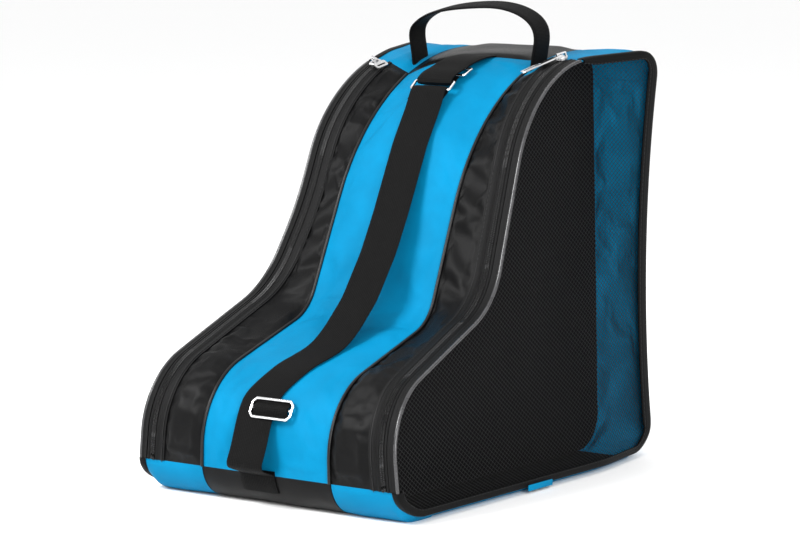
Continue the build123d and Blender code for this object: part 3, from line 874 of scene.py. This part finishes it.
seamTrim = {"radius": 0.0015, "proud": 0.0009}
for side, sign in sides.items():
    found = cutsOf(seam, cuts["middleTop"] + sign * cuts["middleTopSkew"])
    line = onOutline(seam, np.linspace(found["top"], found["toeCap"], 400))
    line = evenly(line, 0.003)
    out = outwardYz(line)
    line = line + out * seamTrim["proud"] * np.sign(out[0, 1])
    points = np.column_stack([sign * (halfWidth("seam", line[:, 1]) - 0.001), line])
    tube(side + "SeamPiping", points, seamTrim["radius"], seamPiping, "bag", side + "_seam_piping")


# outer panels: net, piping, binding
# frames along the outer edge: place, the direction towards the middle, the way out
def outerFrames(side, sFirst, sLast, step=0.003):
    sign = sides[side]
    yz = evenly(onOutline(outer, np.linspace(sFirst, sLast, 900)), step)
    yz[:, 1] += hemLift(yz[:, 1])
    out = outwardYz(yz)
    if (out[0] * (yz[0] - np.array([toeY + 0.25, 0.12]))).sum() < 0:
        out = -out
    places = np.column_stack([sign * halfWidth("outer", yz[:, 1]), yz])
    lean = leans["outer"]
    outwards = np.column_stack([-sign * sin(lean) * out[:, 1], out[:, 0], out[:, 1] * cos(lean)])
    inwards = np.tile((-sign, 0.0, 0.0), (len(yz), 1))
    return places, inwards, outwards


def edgeSweep(side, name, frames, profile, material, body, *nodes, deepen=None):
    places, inwards, outwards = frames
    width = np.abs(np.diff(profile, axis=0)).sum() + 1e-4
    obj = sweepProfile(name, places, inwards, outwards, profile, (lineLength(places), width), deepen)
    setCoordinates(obj, drape(side, coordinates(obj)))
    return finishPiece(obj, material, body, *nodes)


# closed section from the points of its upper face and a thickness
def ribbonProfile(top, thick):
    top = np.array(top, float)
    return np.vstack([top, top[::-1] - (0, thick)])


# lower and upper ends (y, z) of the line where the opened corner folds
def foldEnds(side):
    corners = cornerPoints(outerShape)
    flapLow = corners[3][1] + flap["rise"]
    lowY = toeY + outerShape["instep"] + flap["rise"] / outerShape["shaftSlope"]
    topY = toeY + cuts[side + "Top"]
    topZ = onOutline(outer, cutsOf(outer, cuts[side + "Top"])["top"])[0, 1]
    return np.array([lowY, flapLow]), np.array([topY, topZ])


# closed sections as (towards the middle, outwards) from the outer edge
tapeTop = [
    (0.0071, 0.0004), (0.0078, 0.0013), (0.0090, 0.0015), (0.0100, 0.0006), (0.0160, 0.0006),
    (0.0170, 0.0015), (0.0182, 0.0013), (0.0192, 0.0005), (0.0225, 0.0009), (0.0266, 0.0010),
]
flapTop = [(0.0002, 0.0006), (0.0018, 0.0010), (0.0034, 0.0006), (0.0048, 0.0012), (0.0064, 0.0012),
           (0.0067, 0.0004)]
flap = {"rise": 0.03536}  # the opened corner starts this far above the instep
netEdge = {"radius": 0.0015, "inwards": -0.0006, "down": -0.0002}
bindingTop = [
    (0.0052, 0.0008), (0.0044, 0.0013), (0.0010, 0.0014), (-0.0012, 0.0012), (-0.0026, 0.0002),
    (-0.0031, -0.0020), (-0.0031, -0.0088), (-0.0026, -0.0095),
]
bindingUnder = [
    (-0.0016, -0.0095), (-0.0018, -0.0020), (-0.0014, -0.0004), (0.0, 0.0002), (0.0046, 0.0002),
]
bindingDepth = {"sole": 0.45, "back": 1.15, "top": 0.15, "end": 0.12, "taper": 6, "stitch": 0.0058}
tapeSeam = {"across": 0.0238, "up": 0.0012}
coil = {"pitch": 0.0016, "length": 0.0030, "width": 0.0010, "height": 0.0014, "offset": 0.0012}

for side, sign in sides.items():
    found = cutsOf(outer, cuts[side + "Top"])
    foldLow, foldTop = foldEnds(side)
    sLow = cutAt(outer, 1, foldLow[1], 4.0, 5.9)
    lineAll = outerFrames(side, found["top"], found["toeCap"])
    edgeSweep(side, side + "ZipTape", lineAll, ribbonProfile(tapeTop, 0.0009), zipCloth, "bag",
              side + "_zip_tape")
    upperPart = outerFrames(side, found["top"], sLow)
    lowerPart = outerFrames(side, sLow, found["toeCap"])
    edgeSweep(side, side + "FlapTape", upperPart, ribbonProfile(flapTop, 0.0008), zipCloth,
              side + "_net_corner", side + "_flap_tape")
    edgeSweep(side, side + "LowerTape", lowerPart, ribbonProfile(flapTop, 0.0008), zipCloth, "bag")

    # net piping, one run on the corner that opens and one below it
    angle = np.linspace(0, 2 * pi, 12, endpoint=False)
    netRound = np.column_stack([np.cos(angle), np.sin(angle)]) * netEdge["radius"]
    netRound = netRound + (netEdge["inwards"], netEdge["down"])
    edgeSweep(side, side + "FlapPiping", upperPart, netRound, netPiping, side + "_net_corner",
              side + "_flap_piping")
    edgeSweep(side, side + "PanelPiping", lowerPart, netRound, netPiping, "bag", side + "_panel_piping")

    # binding folded over the rest of the outer edge
    rest = outerFrames(side, found["toeCap"], found["top"] + 12)
    rest = [part[:-1] for part in rest]
    wrap = np.vstack([bindingTop, bindingUnder])
    toBack, toTop = np.maximum(rest[2][:, 1], 0) ** 2, np.maximum(rest[2][:, 2], 0) ** 2
    deepen = bindingDepth["sole"] + bindingDepth["back"] * toBack + bindingDepth["top"] * toTop
    fromEnd = ease((len(deepen) - np.arange(len(deepen))) / bindingDepth["taper"])
    deepen *= bindingDepth["end"] + (1 - bindingDepth["end"]) * fromEnd
    edgeSweep(side, side + "EdgeBinding", rest, wrap, bindingTape, "bag", side + "_edge_binding",
              deepen=deepen)
    depth = foldDepth + bindingDepth["stitch"] * deepen
    outside = np.tile((sign, 0.0, 0.0), (len(depth), 1))
    stitchRow(side + "BindingStitch", drape(side, rest[0] - rest[2] * depth[:, None] + outside * 0.0031),
              outside, blackThread, "bag")

    # the seam between the zip tape and the gusset
    row = lineAll[0] + lineAll[1] * tapeSeam["across"] + lineAll[2] * tapeSeam["up"]
    stitchRow(side + "InnerTapeStitch", drape(side, row), lineAll[2], blackThread, "bag")

    # zip coil: two rows of turns, half a pitch apart
    places, inwards, outwards = lineAll
    bothLines = evenly(np.hstack([places, outwards]), coil["pitch"])[6:-6]
    spots, ups = bothLines[:, :3], bothLines[:, 3:]
    ahead = tangents(spots)
    acrossAxis = np.tile((-sign, 0.0, 0.0), (len(spots), 1))
    turns = np.stack([acrossAxis, ahead, ups], axis=2)
    if sign < 0:
        turns[:, :, 1] *= -1
    rows = []
    for row, shift in ((-1, 0.0), (1, 0.5)):
        rows.append(spots + acrossAxis * (0.013 + row * coil["offset"]) + ups * 0.0008
                    + ahead * shift * coil["pitch"])
    template = bead("coilTurn", coil["length"], coil["width"], coil["height"])
    teeth = scatter(side + "ZipCoil", template, drape(side, np.vstack(rows)), np.vstack([turns, turns]))
    drop(template)
    finishPiece(teeth, coilPlastic, "bag", side + "_zip_chain")
print("zips and edges on")


# net
net = {"wide": 0.0056, "tall": 0.0044, "thread": 0.00036, "thick": 0.0003, "lift": 0.0003, "bulge": 0.003}


# signed distance to the outline, positive inside, and the nearest point on it
def insideOutline(points, edges):
    ring = onOutline(edges, np.linspace(0, 12, 1201)[:-1])
    gap = points[:, None, :] - ring[None, :, :]
    far = np.einsum("ijk,ijk->ij", gap, gap)
    near = far.argmin(1)
    ahead = np.roll(ring, -1, 0) - np.roll(ring, 1, 0)
    ahead /= np.linalg.norm(ahead, axis=1)[:, None]
    normal = np.column_stack([ahead[:, 1], -ahead[:, 0]])
    signed = (gap[np.arange(len(points)), near] * normal[near]).sum(1)
    heart = np.array([[toeY + 0.25, 0.12]])
    test = ((heart[0] - ring[0]) * normal[0]).sum()
    return signed * np.sign(test), ring[near], normal[near] * np.sign(test)


# flat sheet of four-sided cells in the (x, y) plane, over the whole bag's profile
def netSheet(name):
    clearSelection()
    wide, tall = net["wide"], net["tall"]
    bpy.ops.mesh.primitive_circle_add(vertices=4, radius=wide / 2, fill_type="NGON")
    obj = bpy.context.object
    obj.name = name
    bpy.ops.transform.resize(value=(1, tall / wide, 1))
    bpy.ops.object.transform_apply(location=True, rotation=True, scale=True)
    columns = int(bag["length"] / wide) + 3
    rows = int(bag["height"] / tall) + 3
    for count, step in ((columns, (wide, 0, 0)), (2, (wide / 2, tall / 2, 0)), (rows, (0, tall, 0))):
        applyModifier(obj, "ARRAY", count=count, use_relative_offset=False, use_constant_offset=True,
                      constant_offset_displace=step, use_merge_vertices=True, merge_threshold=tall / 20)
    return obj


def netPiece(side, name, upper, body, *nodes):
    sign = sides[side]
    obj = netSheet(name)
    setCoordinates(obj, coordinates(obj) + (toeY, 0, 0))
    centres = np.array([face.center[:2] for face in obj.data.polygons])
    depth, _, _ = insideOutline(centres, outer)
    foldLow, foldTop = foldEnds(side)
    alongFold = (foldTop - foldLow) / np.linalg.norm(foldTop - foldLow)
    above = (centres - foldLow) @ alongFold > 0
    keep = (depth > -0.0006) & (above == upper)
    pick(obj)
    bpy.ops.object.mode_set(mode="EDIT")
    bpy.ops.mesh.select_mode(type="FACE")
    bpy.ops.mesh.select_all(action="DESELECT")
    bpy.ops.object.mode_set(mode="OBJECT")
    obj.data.polygons.foreach_set("select", ~keep)
    bpy.ops.object.mode_set(mode="EDIT")
    bpy.ops.mesh.delete(type="FACE")
    bpy.ops.mesh.select_all(action="SELECT")
    bpy.ops.mesh.inset(thickness=net["thread"] / 2, depth=0, use_individual=True)
    bpy.ops.mesh.delete(type="FACE")
    bpy.ops.mesh.select_mode(type="VERT")
    bpy.ops.object.mode_set(mode="OBJECT")
    flat = coordinates(obj)[:, :2]
    depth, nearest, inward = insideOutline(flat, outer)
    outside = depth < -0.0010
    flat[outside] = nearest[outside] - inward[outside] * 0.0010
    x = halfWidth("outer", flat[:, 1]) + net["lift"]
    slack = ease(np.clip(depth, 0, 1) / 0.10)
    x = x - net["bulge"] * slack
    flat[:, 1] += hemLift(flat[:, 1])
    points = np.column_stack([sign * x, flat])
    setCoordinates(obj, drape(side, points))
    faceOutwards(obj, (0, 0.03, 0.16))
    applyModifier(obj, "SOLIDIFY", thickness=net["thick"], offset=0)
    finishPiece(obj, netThread, body, *nodes)
    return obj


for side, sign in sides.items():
    foldLow, foldTop = foldEnds(side)
    netPiece(side, side + "NetLower", False, "bag", side + "_net_panel")
    upperNet = netPiece(side, side + "NetUpper", True, None, side + "_net_flap")
    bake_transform(upperNet)
    print(side, "net", len(upperNet.data.polygons))


# shoulder strap, its tab and the sewn end
strap = {
    "width": 0.038, "thick": 0.0016, "lift": 0.004, "exit": radians(62), "loop": 0.055,
    "top": (0.00027, -0.02404), "bend": (-0.03573, -0.06904), "instep": (-0.0240, 0.02015),
    "toeStart": 0.078, "sewn": (-0.0004, 0.0305), "radii": (0.150, 0.060, 0.060),
    "loopRadius": 0.005,
}
tab = {
    "steps": ((0.08500, 0.00350), (0.05927, 0.00446), (0.02127, -0.00854), (0.01227, -0.01504)),
    "radii": (0.120, 0.040), "thick": 0.0024,
}
crestCorner = np.array(cornerPoints(crownShape)[2])
instepCorner = np.array(cornerPoints(crownShape)[3])
toeRadius = crownShape["radii"][4]
toeTurn = radians(90) - atan(crownShape["toeSlope"])
toeCentre = np.array([toeRadius, crownShape["toeHeight"] - toeRadius * tan(toeTurn / 2)])
strapRadius = toeRadius + strap["lift"]
exitPoint = toeCentre + strapRadius * np.array([-sin(strap["exit"]), cos(strap["exit"])])
foldPoint = exitPoint - strap["loop"] * np.array([cos(strap["exit"]), sin(strap["exit"])])
lineHeight = crownShape["toeHeight"] + strap["lift"] / cos(atan(crownShape["toeSlope"]))
slope = tan(strap["exit"])
kneeY = (lineHeight - exitPoint[1] + slope * exitPoint[0]) / (slope - crownShape["toeSlope"])


def onToeLine(y):
    return np.array([y, lineHeight + crownShape["toeSlope"] * y])


strapTop = crestCorner + strap["top"]
tabLine = [crestCorner + step for step in tab["steps"]]
towardsTab = (tabLine[-1] - strapTop) / np.linalg.norm(tabLine[-1] - strapTop)
up = np.array([-towardsTab[1], towardsTab[0]])
wire = {"radius": 0.0013, "reach": 0.0017}
wireLow = strapTop + towardsTab * wire["reach"]
wireHigh = tabLine[-1] - towardsTab * wire["reach"]


# webbing turned round a wire: from the tail under it, over its far side, to the top
def hook(centre, way, radius, tail):
    angle = np.linspace(-pi / 2, pi / 2, 9)
    arc = centre + radius * (np.cos(angle)[:, None] * way + np.sin(angle)[:, None] * up)
    return np.vstack([arc[0] - way * tail, arc])


route = [
    strapTop, crestCorner + strap["bend"], instepCorner + strap["instep"],
    onToeLine(strap["toeStart"]), onToeLine(kneeY), foldPoint, np.array(strap["sewn"]),
]
body = filletedLine(route, [*strap["radii"], strapRadius, strap["loopRadius"]], 0.003)
rise = np.exp(-((np.linalg.norm(body - strapTop, axis=1)) / 0.012) ** 2)[:, None]
body = body + up * rise * (wire["radius"] + strap["thick"] / 2 + 0.0001)
turned = hook(wireLow, towardsTab, wire["radius"] + strap["thick"] / 2 + 0.0001, 0.012)
strapPath = evenly(np.vstack([turned, body[1:]]), 0.0025) + (toeY, 0)
wander = {
    "along": (0.0, 0.03, 0.10, 0.15, 0.19, 0.23, 0.27, 0.315, 0.345, 0.37, 0.39, 0.42),
    "aside": (0.0, 0.0010, 0.0070, 0.0115, 0.0135, 0.0115, 0.0120, 0.0060, -0.0010, -0.0120, -0.0120,
              -0.0085),
}
aside = np.interp(np.linspace(0, lineLength(strapPath), len(strapPath)), wander["along"], wander["aside"])
kernel = np.hanning(13) / np.hanning(13).sum()
aside = np.convolve(np.pad(aside, 6, mode="edge"), kernel, mode="valid")
print("strap length", lineLength(strapPath))
strapPiece = middleStrip("shoulderStrap", strapPath, strap["width"], strap["thick"], crownUp=0.0004,
                         aside=aside)
finishPiece(strapPiece, webbingCloth, "bag", "shoulder_strap")

tabBody = filletedLine(tabLine, tab["radii"], 0.003)[::-1]
turned = hook(wireHigh, -towardsTab, wire["radius"] + tab["thick"] / 2 + 0.0001, 0.010)
rise = np.exp(-((np.linalg.norm(tabBody - tabLine[-1], axis=1)) / 0.012) ** 2)[:, None]
tabBody = tabBody + up * rise * (wire["radius"] + tab["thick"] / 2 + 0.0001)
tabPath = evenly(np.vstack([turned, tabBody[1:]]), 0.0025) + (toeY, 0)
tabPiece = middleStrip("strapTab", tabPath, strap["width"], tab["thick"], crownUp=0.0003)
finishPiece(tabPiece, webbingCloth, "bag", "strap_tab")

anchor = {"top": 0.034, "foot": 0.014, "proud": 0.0004, "thick": 0.0020, "wider": 0.0}
anchorEnds = [cutAt(crown, 1, anchor[end], 6.5, 9.99) for end in ("top", "foot")]
anchorLine = evenly(onOutline(crown, np.linspace(*anchorEnds, 60)), 0.0015)
anchorOut = outwardYz(anchorLine)
anchorLine = anchorLine + anchorOut * -np.sign(anchorOut[0, 0]) * anchor["proud"]
anchorPiece = middleStrip("strapAnchor", anchorLine, strap["width"] + anchor["wider"], anchor["thick"],
                          crownUp=0.0003, aside=wander["aside"][-1])
finishPiece(anchorPiece, webbingCloth, "bag", "strap_anchor")

# the strap's turn over the slide's bar, which travels with the slide
slideLow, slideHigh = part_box("slide_bar")
barCentre = np.array([(slideLow.y + slideHigh.y) / 2, (slideLow.z + slideHigh.z) / 2])
ahead = np.array([cos(strap["exit"]), sin(strap["exit"])])
outUp = np.array([-ahead[1], ahead[0]])
share = np.linspace(-1, 1, 25)
hump = np.exp(-(share * 0.0092 / 0.0037) ** 2) * 0.0042
humpLine = barCentre + share[:, None] * 0.0092 * ahead + outUp * (hump - 0.0019)[:, None]
humpPiece = middleStrip("slideTurn", humpLine, strap["width"] - 0.001, 0.0013, crownUp=0.0001,
                        aside=(slideLow.x + slideHigh.x) / 2)
finishPiece(humpPiece, webbingCloth, "strap_slide")
print("strap on")

# carry handle
handle = {"half": 0.0700, "top": 0.4232, "shoulder": 0.392, "roundness": 2.4, "foot": (0.0640, 0.350),
          "axis": 0.378, "ankle": (0.0672, 0.374), "leg": 0.3906, "width": 0.025, "thick": 0.0026,
          "centre": toeY + 0.320, "sag": 0.0035, "twist": radians(11)}
turn = np.linspace(pi, 0, 81)
bow = 2 / handle["roundness"]
archTop = np.column_stack([
    handle["half"] * np.sign(np.cos(turn)) * np.abs(np.cos(turn)) ** bow,
    handle["shoulder"] + (handle["top"] - handle["shoulder"]) * np.sin(turn) ** bow,
])
leg = filletedLine([handle["foot"], handle["ankle"], (handle["half"], handle["shoulder"] - 0.002),
                    (handle["half"], handle["shoulder"])], [0.030, 0.006], 0.001)
arch = np.vstack([leg * (-1, 1), archTop[1:-1], leg[::-1]])
arch = evenly(arch, 0.003)
aloft = ease((arch[:, 1] - handle["shoulder"] + 0.002) / 0.025)
arch[:, 1] -= handle["sag"] * aloft * ease(0.5 - arch[:, 0] / 0.08)
ahead = tangents(arch)
count = len(arch)
origins = np.column_stack([arch[:, 0], np.full(count, handle["centre"]), arch[:, 1]])
axisAcross = np.tile((0.0, 1.0, 0.0), (count, 1))
axisUp = np.column_stack([-ahead[:, 1], np.zeros(count), ahead[:, 0]])
angle = (handle["twist"] * aloft * (0.7 + 0.3 * np.cos(arch[:, 0] / 0.03)))[:, None]
axisAcross, axisUp = (axisAcross * np.cos(angle) + axisUp * np.sin(angle),
                      axisUp * np.cos(angle) - axisAcross * np.sin(angle))
loop = sweepProfile("carryHandle", origins, axisAcross, axisUp,
                    flatProfile(handle["width"], handle["thick"], crownUp=0.0002),
                    (lineLength(arch), 2 * handle["width"]))
finishPiece(loop, webbingCloth, None, "handle_loop", "handle_ends")
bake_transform(loop)
print("handle on")

# middle zip at the back
rearZip = {"low": 0.045, "high": 0.345}
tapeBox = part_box("middle_zip_tape")
line = np.linspace(rearZip["low"], rearZip["high"], 101)
origins = np.column_stack([np.zeros(101), np.full(101, tapeBox[1].y), line])
acrossAxis = np.tile((1.0, 0, 0), (101, 1))
outAxis = np.tile((0, 1.0, 0), (101, 1))
halfTape = bag["band"] / 2
profile = ribbonProfile([(-halfTape, 0.0006), (-0.0100, 0.0012), (-0.0056, 0.0013), (-0.0040, 0.0006),
                         (0.0040, 0.0006), (0.0056, 0.0013), (0.0100, 0.0012), (halfTape, 0.0006)], 0.0009)
rearTape = sweepProfile("middleZipTape", origins, acrossAxis, outAxis, profile, (0.3, 0.06))
finishPiece(rearTape, zipCloth, "bag", "middle_zip_tape")
heights = np.arange(rearZip["low"] + 0.006, rearZip["high"] - 0.006, coil["pitch"])
spots = np.column_stack([np.zeros(len(heights)), np.full(len(heights), tapeBox[1].y + 0.0009), heights])
places = np.vstack([spots + (-coil["offset"], 0, 0), spots + (coil["offset"], 0, coil["pitch"] / 2)])
turns = np.tile(np.array([[1.0, 0, 0], [0, 0, 1.0], [0, 1.0, 0]]).T, (len(places), 1, 1))
template = bead("coilTurn", coil["length"], coil["width"], coil["height"])
rearCoil = scatter("middleZipCoil", template, places, turns)
drop(template)
finishPiece(rearCoil, coilPlastic, "bag", "middle_zip_chain")

# small tab in the bottom binding
tabLow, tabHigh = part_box("binding_tab")
clearSelection()
tabLow.z += 0.0025
bpy.ops.mesh.primitive_cube_add(size=1, location=((tabLow + tabHigh) / 2), scale=(tabHigh - tabLow))
smallTab = bpy.context.object
smallTab.name = "bindingTab"
bpy.ops.object.transform_apply(location=True, rotation=True, scale=True)
applyModifier(smallTab, "BEVEL", width=0.0005, segments=2)
smooth(smallTab, 50)
finishPiece(smallTab, blueCloth, "bag", "binding_tab")

# plated pieces that come with the frame
for node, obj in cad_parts.items():
    if obj.hide_render:
        continue
    obj.data.materials.clear()
    moulded = "stop" in node
    obj.data.materials.append(coilPlastic if moulded else platedMetal)
    print("carried", node)

# floor, light and camera
clearSelection()
bpy.ops.mesh.primitive_plane_add(size=80, location=(0, 0, 0))
ground = bpy.context.object
ground.name = "floor"
groundMaterial, _, groundShader = newMaterial("paleFloor")
groundShader.inputs["Base Color"].default_value = (0.96, 0.96, 0.96, 1)
groundShader.inputs["Roughness"].default_value = 0.6
ground.data.materials.append(groundMaterial)

world = bpy.data.worlds.new("studio")
world.use_nodes = True
world.node_tree.nodes["Background"].inputs["Color"].default_value = (1, 1, 1, 1)
world.node_tree.nodes["Background"].inputs["Strength"].default_value = 1.0
scene.world = world


def softbox(name, place, target, size, power):
    light = bpy.data.lights.new(name, "AREA")
    light.shape = "SQUARE"
    light.size = size
    light.energy = power
    obj = bpy.data.objects.new(name, light)
    obj.location = place
    obj.rotation_euler = (Vector(target) - Vector(place)).to_track_quat("-Z", "Y").to_euler()
    scene.collection.objects.link(obj)


aim = (0, 0, 0.15)
softbox("keyLight", (-0.9, -1.9, 1.9), aim, 1.0, 95)
softbox("fillLight", (2.1, -1.3, 0.9), aim, 1.2, 60)
softbox("topLight", (0.2, 0.5, 2.2), aim, 1.6, 9)

scene.view_settings.view_transform = "Standard"
camera = bpy.data.cameras.new("camera")
camera.lens = 144
camera.sensor_width = 36
cameraObject = bpy.data.objects.new("camera", camera)
cameraObject.location = (1.687, -2.327, 0.552)
cameraObject.rotation_euler = (radians(90 - 7.33), 0, radians(36.1))
scene.collection.objects.link(cameraObject)
scene.camera = cameraObject
